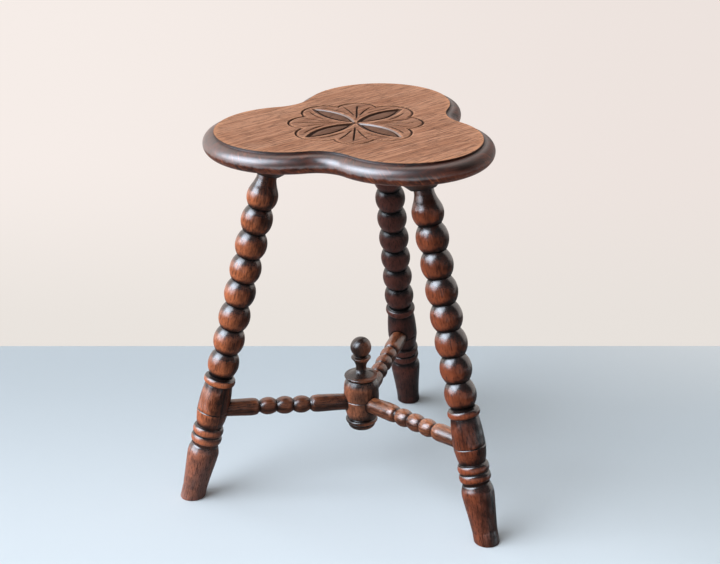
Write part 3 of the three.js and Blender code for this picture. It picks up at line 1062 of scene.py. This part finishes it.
def noted(tree, name, output="Fac"):
    """What a piece has noted at each of its points."""
    return add(tree, "Attribute", attribute_name=name)[output]


def new_material(name):
    """An empty material and its node tree."""
    material = bpy.data.materials.new(name)
    material.use_nodes = True
    material.node_tree.nodes.clear()
    return material, material.node_tree


def turned_oak(name, stain, heart, rubbed, grime_and_shade=BLACK_WAX_AND_SHADE, rub=1.0, wax=1.0, darker_on_top=0.0,
               dull_foot=0.0):
    """Stained oak from the lathe: stain and heart colours mixed by the streaks, a rubbed colour on
    the crests and, as painted light, on the side that faces the light, near black in the
    grooves, round the joints, where it is partly painted shade, and on what faces up, and fine
    tool rings. Its wax, a coat over the wood, still shines on what faces up. A leg's foot is dull
    and greyish, more so towards the floor."""
    material, tree = new_material(name)
    grain = noted(tree, "grain", "Vector")
    oak = add(
        tree, "Group", {"Grain": grain.stretched(1, 1, 2), "Ring width": 0.0035}, node_tree=OAK,
    )
    old = add(tree, "Group", {
        "Grain": grain,
        "Relief": noted(tree, "relief"),
        "Seam": noted(tree, "seam"),
        "Worn and lit side": noted(tree, "worn and lit side"),
        "Upward": noted(tree, "upward"),
        "Darker on top": darker_on_top,
    }, node_tree=PATINA_LIGHT_AND_SHADE)
    lathe = add(
        tree, "Group", {"Place": grain.stretched(0.05, 0.05, 1), "Spacing": LATHE_MARKS},
        node_tree=MARKS,
    )
    wood = blend(oak["Streaks"].between(0.32, 0.68), stain, heart)
    wood = blend(oak["Rings"] * 0.35, wood, stain)
    wood = blend(old["Rubbed and lit"] * rub, wood, rubbed)
    if dull_foot:
        up_the_leg = add(tree, "SeparateXYZ", {0: grain})["Z"]
        wood = blend(up_the_leg.between(0.24, 0.12, 0, dull_foot), wood, GREYED_OAK)
    wood = blend(oak["Pores"] * 0.6, wood, grime_and_shade)
    wood = blend(old["Grime and shade"], wood, grime_and_shade)
    height = oak["Pores"] * -0.7 + lathe["Marks"] * 0.35 + oak["Streaks"] * 0.5
    bump = add(tree, "Bump", {"Height": height, "Strength": 0.7, "Distance": 0.0002})
    shader = add(tree, "BsdfPrincipled", {
        "Base Color": wood,
        "Roughness": old["Cloud"] * 0.25 + 0.3 + old["Grime and shade"] * 0.15,
        "Normal": bump["Normal"],
        "IOR": 1.45,
        "Specular IOR Level": 0.1,
        "Coat Weight": old["Wax"] * wax,
        "Coat Roughness": 0.26,
        "Coat IOR": 2.15,
    })
    add(tree, "OutputMaterial", {"Surface": shader["BSDF"]})
    return material


# For each finish: its pieces, its stain, heart and rubbed colours, and what else is its own.
# The rubbed colour also stands on the side that faces the light, as painted light.
TURNED_FINISHES = {
    "leg oak": (
        ["leg_front_left"], (32, 17, 11), (93, 47, 30), (188, 104, 64),
        {"darker_on_top": 1.4, "dull_foot": 0.32},
    ),
    "right leg oak": (
        ["leg_front_right"], (22, 9, 4), (66, 28, 14), (140, 70, 42),
        {"darker_on_top": 1.2, "dull_foot": 0.1},
    ),
    "rear leg oak": (
        ["leg_rear"], (26, 17, 15), (48, 32, 29), (98, 54, 44),
        {"grime_and_shade": (9, 7, 7), "rub": 0.8, "wax": 0.5, "darker_on_top": 0.8},
    ),
    "bright stretcher oak": (
        ["stretcher_front_right"], (56, 31, 22), (130, 74, 47), (204, 124, 80), {},
    ),
    "stretcher oak": (
        ["stretcher_front_left", "stretcher_rear"], (44, 25, 18), (96, 54, 36), (164, 92, 56),
        {"wax": 0.8},
    ),
    "hub oak": (["hub"], (42, 28, 22), (98, 62, 46), (184, 110, 76), {"darker_on_top": 0.3}),
    "finial oak": (
        ["finial", "hub_drop"], (32, 21, 16), (66, 43, 33), (156, 90, 60),
        {"rub": 0.6, "wax": 0.7, "darker_on_top": 0.1},
    ),
    "pad oak": (
        ["pad_rear", "pad_front_left", "pad_front_right"], (40, 24, 19), (64, 38, 28), (96, 60, 44),
        {"wax": 0.2},
    ),
}

for name, (nodes, stain, heart, rubbed, own_values) in TURNED_FINISHES.items():
    material = turned_oak(name, stain, heart, rubbed, **own_values)
    for node in nodes:
        pieces[node].data.materials.append(material)

# %% [markdown]
# The seat's top has lost most of its stain: it is a dry, orange-brown oak with long dark pores,
# greyer in patches. The rim has kept a dark, glossy stain that was rubbed with a
# rasp, so fine slanting marks cross it. One material covers both, because the change from one
# to the other, along the worn edge, is part of what the eye looks for.

# %% Seat oak
RASP_MARKS = 0.0011
RASP_SLANT = math.radians(33)


def seat_oak():
    """Worn oak above, dark stained oak round the rim and below, dark wax in every cut. The steep
    slopes that look right, away from the window, are painted dark as painted shade, and wax lies
    on those that look left."""
    material, tree = new_material("seat oak")
    cut, rim, edge_wear, sunk, seam, up, lip, leftward, shoulder = (
        noted(tree, name) for name in (
            "cut", "rim", "edge", "sunk", "seam", "upward", "lip", "leftward", "shoulder",
        )
    )
    grain = noted(tree, "grain", "Vector")
    oak = add(tree, "Group", {"Grain": grain, "Ring width": 0.007}, node_tree=OAK)
    old = add(tree, "Group", {
        "Grain": grain, "Relief": 0.0, "Seam": seam, "Worn and lit side": 0.0, "Upward": up + 0.36,
        "Darker on top": 0.0,
    }, node_tree=PATINA_LIGHT_AND_SHADE)
    slanted = add(tree, "Mapping", {
        "Vector": noted(tree, "round_rim", "Vector"), "Rotation": (0, 0, RASP_SLANT),
    })["Vector"]
    rasp = add(
        tree, "Group", {"Place": slanted.stretched(1, 0.07, 1), "Spacing": RASP_MARKS},
        node_tree=MARKS,
    )
    flecks = noise(grain.stretched(1, 1, 0.14), 480, 3, 0.6)
    worn = blend(oak["Streaks"].between(0.3, 0.7), (171, 113, 81), (207, 149, 114))
    # Painted shade: the steep carved slopes that face away from the window are painted dark.
    painted_shade_on_slopes = sunk * up.between(0.97, 0.85) * leftward.between(0.1, -0.1, 0, 0.8)
    for share, above in (
        (oak["Rings"] * 0.15, (146, 92, 66)),
        (old["Cloud"].between(0.5, 0.75, 0, 0.3), (172, 138, 116)),
        (flecks.between(0.5, 0.72, 0, 0.42), (112, 70, 50)),
        (edge_wear * 0.6, (232, 162, 116)),
        (sunk * 0.85, (112, 78, 60)),
        (lip * 0.6, (232, 168, 128)),
        (oak["Pores"] * 0.7, (70, 40, 28)),
        (cut, (22, 14, 12)),
        (painted_shade_on_slopes, (36, 18, 10)),
    ):
        worn = blend(share, worn, above)
    stained = blend(oak["Streaks"].between(0.3, 0.7), (46, 24, 17), (104, 52, 34))
    rubbed_rim = rasp["Marks"].between(0.52, 0.66) * old["Cloud"].between(0.42, 0.6)
    stained = blend(rubbed_rim * 0.55, stained, (184, 100, 62))
    stained = blend(largest(old["Grime and shade"], shoulder), stained, BLACK_WAX_AND_SHADE)
    rim_wax = rim * (old["Wax"] * leftward.between(-0.6, 0, 0.2, 1)) - shoulder * 0.9
    slope_wax = sunk * up.between(0.9, 0.78) * leftward.between(-0.05, 0.12)
    marks = (rasp["Marks"] - 0.5) * (rim * 3)
    height = oak["Pores"] * -0.8 + marks + oak["Streaks"] * 0.6
    bump = add(tree, "Bump", {"Height": height, "Strength": 0.55, "Distance": 0.00025})
    shader = add(tree, "BsdfPrincipled", {
        "Base Color": blend(rim, worn, stained),
        "Roughness": old["Cloud"] * 0.25 + 0.42 - rim * 0.15 + cut * 0.2,
        "Normal": bump["Normal"],
        "IOR": 1.45,
        "Specular IOR Level": 0.1,
        "Coat Weight": largest(rim_wax, slope_wax).maths("SUBTRACT", cut, clamp=True),
        "Coat Roughness": 0.36,
        "Coat IOR": 2.6,
    })
    add(tree, "OutputMaterial", {"Surface": shader["BSDF"]})
    return material


pieces["seat"].data.materials.append(seat_oak())
print("materials:", len(bpy.data.materials))

# %% [markdown]
# ## Camera and light
# The camera stands where the photographer stood: about 1.7 m from the hub and almost a metre
# up, looking down at the stool with a short telephoto lens. These values came from fitting the
# stool's known circles and feet to the picture.

# %% Camera
CAMERA_OUT = 1.6991
CAMERA_HEIGHT = 0.98355
CAMERA_TURN = math.radians(17.65)
CAMERA_DOWN = math.radians(23.16)
CAMERA_ROLL = math.radians(-0.72)
LENS = 79.37

camera_frame = HUB_AXIS @ Matrix.Rotation(CAMERA_TURN, 4, "Z")
camera_data = bpy.data.cameras.new("camera")
camera_data.lens = LENS
camera_data.sensor_width = 36
camera = bpy.data.objects.new("camera", camera_data)
camera.matrix_world = (
    camera_frame
    @ Matrix.Translation([0, -CAMERA_OUT, CAMERA_HEIGHT])
    @ Matrix.Rotation(math.pi / 2 - CAMERA_DOWN, 4, "X")
    @ Matrix.Rotation(CAMERA_ROLL, 4, "Z")
)
bpy.context.scene.collection.objects.link(camera)
bpy.context.scene.camera = camera
print("camera at", [round(x, 3) for x in camera.matrix_world.translation])

# %% [markdown]
# The floor is a pale blue-grey board and the wall behind is a pale, warm white, with the
# window's light and its falloff painted into both. The wall stands a hand's breadth behind the
# rear foot. It is see-through from behind, so that the stool can be looked at from every side,
# and to all light, so that it never blocks the window.

# %% Floor and wall
WALL_BEHIND = 0.3654
WALL_TURN = math.radians(-1.654)
WALL_HALF_WIDTH = 2.6
WALL_HEIGHT = 2.2
FLOOR_HALF = 4.0
TO_RIGHT = (math.cos(CAMERA_TURN), math.sin(CAMERA_TURN), 0)
TO_WALL = (-math.sin(CAMERA_TURN), math.cos(CAMERA_TURN), 0)


def sheet_of(name, corners, turn=0.0):
    """A flat stage piece from its four corners, in the camera's turned frame."""
    stand = camera_frame @ Matrix.Rotation(turn, 4, "Z")
    mesh = bpy.data.meshes.new(name)
    mesh.from_pydata([stand @ Vector(corner) for corner in corners], [], [(0, 1, 2, 3)])
    piece = bpy.data.objects.new(name, mesh)
    bpy.context.scene.collection.objects.link(piece)
    piece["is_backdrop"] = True
    return piece


floor = sheet_of("floor", [
    (x * FLOOR_HALF, y * FLOOR_HALF, 0) for x, y in ((-1, -1), (1, -1), (1, 1), (-1, 1))
])
wall = sheet_of("wall", [
    (x * WALL_HALF_WIDTH, WALL_BEHIND, z * WALL_HEIGHT)
    for x, z in ((-1, 0), (1, 0), (1, 1), (-1, 1))
], WALL_TURN)


def seen_by(path):
    """1 for a ray that shows the room, straight, mirrored or through glass, 0 for the rest."""
    return largest(path["Is Camera Ray"], path["Is Glossy Ray"], path["Is Transmission Ray"])


def plain_floor():
    """Matt pale blue-grey with painted light: lighter in front, where the window's light is
    strongest, painted shade towards the wall and to the right, and a painted warm light from the
    wall in the back right corner."""
    material, tree = new_material("pale floor")
    place = add(tree, "TexCoord")["Object"]
    depth, aside = place.along(TO_WALL), place.along(TO_RIGHT)
    tone = blend(depth.between(0.35, -0.3, 0, 0.565), (194, 199, 199), (250, 254, 253))
    corner = aside.between(0, 0.6) * depth.between(0, 0.35, 0, 0.35)
    tone = blend(corner, tone, (246, 236, 222))
    away = aside.between(0.12, 0.75) * depth.between(0.3, -0.2)
    tone = blend(away, tone, (222, 222, 219), "MULTIPLY")
    shader = add(tree, "BsdfPrincipled", {
        "Base Color": tone, "Roughness": 0.6, "Specular IOR Level": 0.3,
    })
    add(tree, "OutputMaterial", {"Surface": shader["BSDF"]})
    return material


def plain_wall():
    """Warm white paint that the camera and reflections see at its own colour, and nothing from
    behind or for the light. Its colour holds painted light, lighter on the left towards the
    window, and painted shade low down by the floor."""
    material, tree = new_material("pale wall")
    place = add(tree, "SeparateXYZ", {0: add(tree, "TexCoord")["Object"]})
    painted = blend(place["X"].between(-0.6, 0.35), (246, 237, 232), (237, 227, 222))
    painted = blend(place["Z"].between(0.3, 0, 0, 0.8), painted, (230, 225, 219))
    glow = add(tree, "Emission", {"Color": painted, "Strength": 1.0})
    clear = add(tree, "BsdfTransparent")
    behind = add(tree, "NewGeometry")["Backfacing"]
    shown = seen_by(add(tree, "LightPath")).maths("SUBTRACT", behind, clamp=True)
    both = add(tree, "MixShader", {0: shown, 1: clear["BSDF"], 2: glow["Emission"]})
    add(tree, "OutputMaterial", {"Surface": both["Shader"]})
    return material


floor.data.materials.append(plain_floor())
wall.data.materials.append(plain_wall())
print(f"wall {WALL_BEHIND:.2f} m behind the hub")

# %% [markdown]
# The light is a wide window on the left, seen in the beads and the rim as a broad, bluish patch
# that reaches from behind the stool to well in front of it. Three sun lamps with wide discs
# stand for its parts: a sun's light is the same all over the floor, and its disc gives the soft
# shadows and broad highlights of a window. A dim, even surround fills the shadows.

# %% Window light and surround
WINDOW_PARTS = {
    "window far part": ((-0.88, 0.32, 0.38), 1.45),
    "window low part": ((-0.84, -0.38, 0.40), 1.6),
    "window high part": ((-0.58, -0.30, 0.76), 1.95),
}
PART_WIDTH = math.radians(50)
WINDOW_COLOUR = (0.84, 0.94, 1.08)
SURROUND_COLOUR = (0.96, 0.97, 1.0, 1.0)
SURROUND_STRENGTH = 0.33


def window_part(name, way, strength):
    """A sun lamp whose light comes from the given way, in the camera's turned frame."""
    data = bpy.data.lights.new(name, "SUN")
    data.energy = strength
    data.angle = PART_WIDTH
    data.color = WINDOW_COLOUR
    lamp = bpy.data.objects.new(name, data)
    turn = math.atan2(way[0], -way[1])
    tilt = math.atan2(math.hypot(way[0], way[1]), way[2])
    lamp.matrix_world = camera_frame @ Matrix.Rotation(turn, 4, "Z") @ Matrix.Rotation(tilt, 4, "X")
    bpy.context.scene.collection.objects.link(lamp)


for name, (way, strength) in WINDOW_PARTS.items():
    window_part(name, way, strength)


def surround():
    """A dim, even light from everywhere. The camera sees the pale of the wall all round it, and
    reflections see the room: as pale as the wall near the horizon behind the stool and on the
    window side, but dim overhead, to the right and in front."""
    world = bpy.data.worlds.new("surround")
    world.use_nodes = True
    tree = world.node_tree
    tree.nodes.clear()
    path = add(tree, "LightPath")
    way = add(tree, "TexCoord")["Generated"]
    height = add(tree, "SeparateXYZ", {0: way})["Z"]
    shade = largest(
        height.between(0.1, 0.5),
        way.along(TO_RIGHT).between(0.3, 0.9),
        way.along(TO_WALL).between(-0.1, -0.6),
    ).maths("SUBTRACT", path["Is Camera Ray"], clamp=True)
    tone = blend(shade, (238, 230, 225), (58, 59, 62))
    dim = add(tree, "Background", {"Color": SURROUND_COLOUR, "Strength": SURROUND_STRENGTH})
    room = add(tree, "Background", {"Color": tone, "Strength": 1.0})
    both = add(tree, "MixShader", {0: seen_by(path), 1: dim[0], 2: room[0]})
    add(tree, "OutputWorld", {"Surface": both["Shader"]})
    bpy.context.scene.world = world


surround()
bpy.context.scene.view_settings.view_transform = "Standard"
print("lights:", list(WINDOW_PARTS))

# %% [markdown]
# Last, the visual stool's box is printed less the solids' box, to see that nothing has grown.

# %% Compare the boxes
new_low, new_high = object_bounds()
growth = [*(new_low - cad_low), *(new_high - cad_high)]
print("visual less solid, mm:", [round(x / MM, 2) for x in growth])
